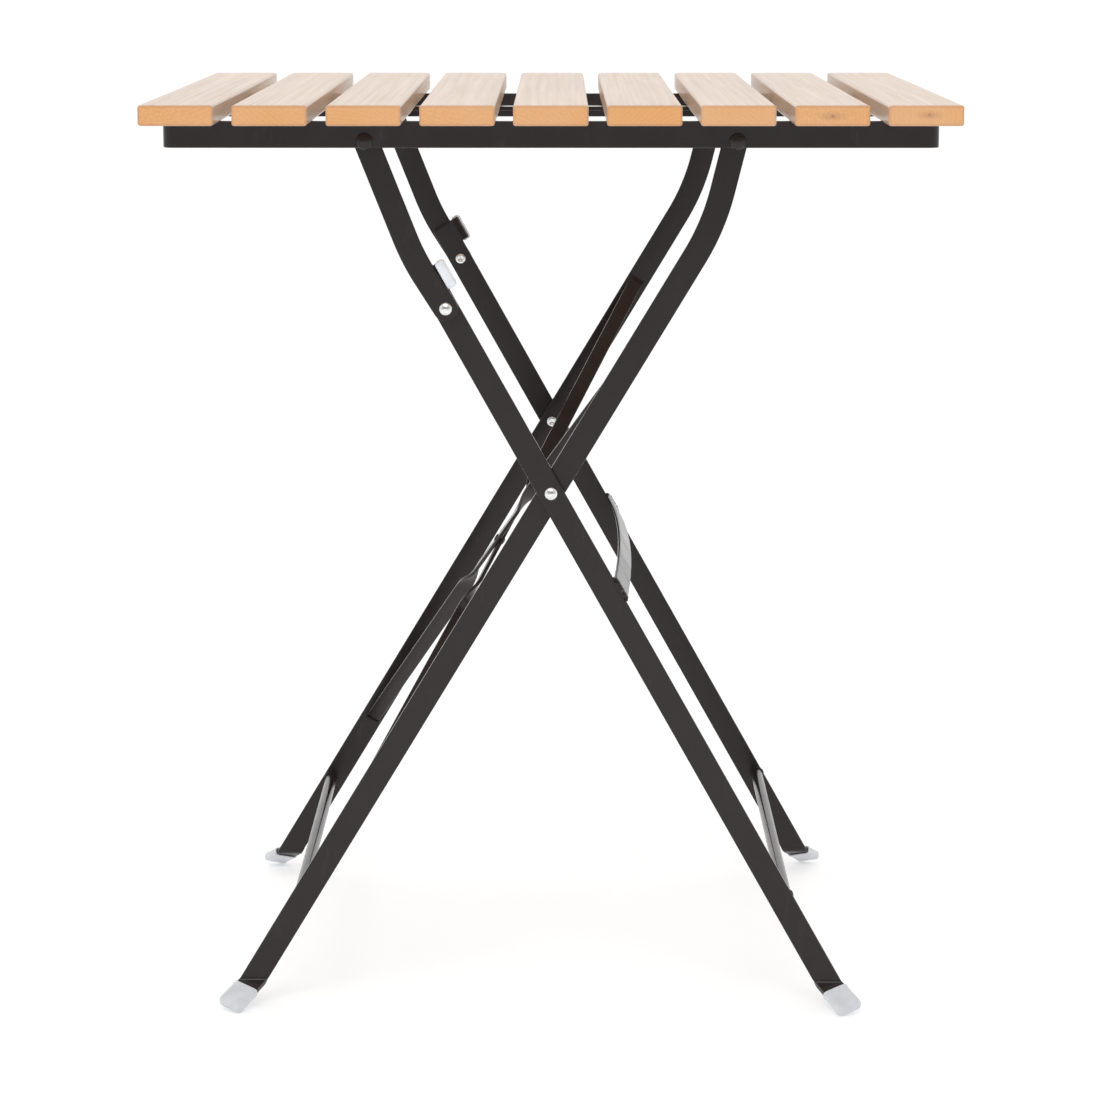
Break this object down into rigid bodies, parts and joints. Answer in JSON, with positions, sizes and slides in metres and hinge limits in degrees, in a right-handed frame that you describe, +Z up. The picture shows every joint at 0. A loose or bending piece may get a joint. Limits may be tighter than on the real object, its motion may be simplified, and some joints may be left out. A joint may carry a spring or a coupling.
{
  "type": "folding table",
  "caption": "Square folding table with a slatted wooden top on a flat-bar steel ring, crossed leg frames with knuckled upper links, an X brace and capped feet.",
  "frame": {"origin": "on the floor under the middle of the top, which is the bottom centre of the bounding box", "axes": "+Z up, X across the slats, Y along the slats; frame B's feet are towards -X and frame A's towards +X"},
  "size_m": [0.6, 0.6, 0.706],
  "materials": {
    "varnished_wood": "satin varnish",
    "black_steel": "satin powder coat",
    "rivet_zinc": "bright zinc plate",
    "screw_zinc": "zinc plate",
    "cap_plastic": "satin",
    "sleeve_plastic": "satin"
  },
  "bodies": {
    "table_top": {"slat_1": "varnished_wood", "slat_2": "varnished_wood", "slat_3": "varnished_wood", "slat_4": "varnished_wood", "slat_5": "varnished_wood", "slat_6": "varnished_wood", "slat_7": "varnished_wood", "slat_8": "varnished_wood", "slat_9": "varnished_wood", "slat_screws": "screw_zinc", "slat_tabs_back": "black_steel", "slat_tabs_front": "black_steel", "top_ring": "black_steel", "centre_strap": "black_steel", "pivot_pins_a": "black_steel", "pivot_pins_b": "black_steel", "spacers_a": "black_steel", "spacers_b": "black_steel"},
    "upper_links": {"upper_link_back": "black_steel", "upper_link_front": "black_steel", "knuckle_rivets": "rivet_zinc"},
    "leg_frame_a": {"leg_a_back": "black_steel", "leg_a_front": "black_steel", "stop_sleeve_back": "sleeve_plastic", "stop_sleeve_front": "sleeve_plastic", "bowed_stretcher": "black_steel", "tube_stretcher_a": "black_steel", "crossing_rivet_heads": "rivet_zinc", "crossing_washers": "black_steel", "foot_cap_a_back": "cap_plastic", "foot_cap_a_front": "cap_plastic"},
    "leg_frame_b": {"leg_b_back": "black_steel", "leg_b_front": "black_steel", "brace_strip_lower": "black_steel", "brace_strip_upper": "black_steel", "brace_rivet": "black_steel", "tube_stretcher_b": "black_steel", "crossing_rivet_tails": "rivet_zinc", "foot_cap_b_back": "cap_plastic", "foot_cap_b_front": "cap_plastic"}
  },
  "joints": [
    {"name": "link_fold", "type": "hinge", "parent": "table_top", "child": "upper_links", "pos_m": [-0.1393, 0, 0.676], "axis": [0, -1, 0], "range_deg": [0, 58.39]},
    {"name": "knuckle_fold", "type": "hinge", "parent": "upper_links", "child": "leg_frame_a", "pos_m": [-0.0797, 0, 0.549], "axis": [0, 1, 0], "range_deg": [0, 170.85]},
    {"name": "leg_b_fold", "type": "hinge", "parent": "table_top", "child": "leg_frame_b", "pos_m": [0.1393, 0, 0.676], "axis": [0, 1, 0], "range_deg": [0, 56]}
  ],
  "couplings": [
    {"joint": "knuckle_fold", "follows": "link_fold", "ratio": 2.9258},
    {"joint": "leg_b_fold", "follows": "link_fold", "ratio": 0.95901}
  ]
}
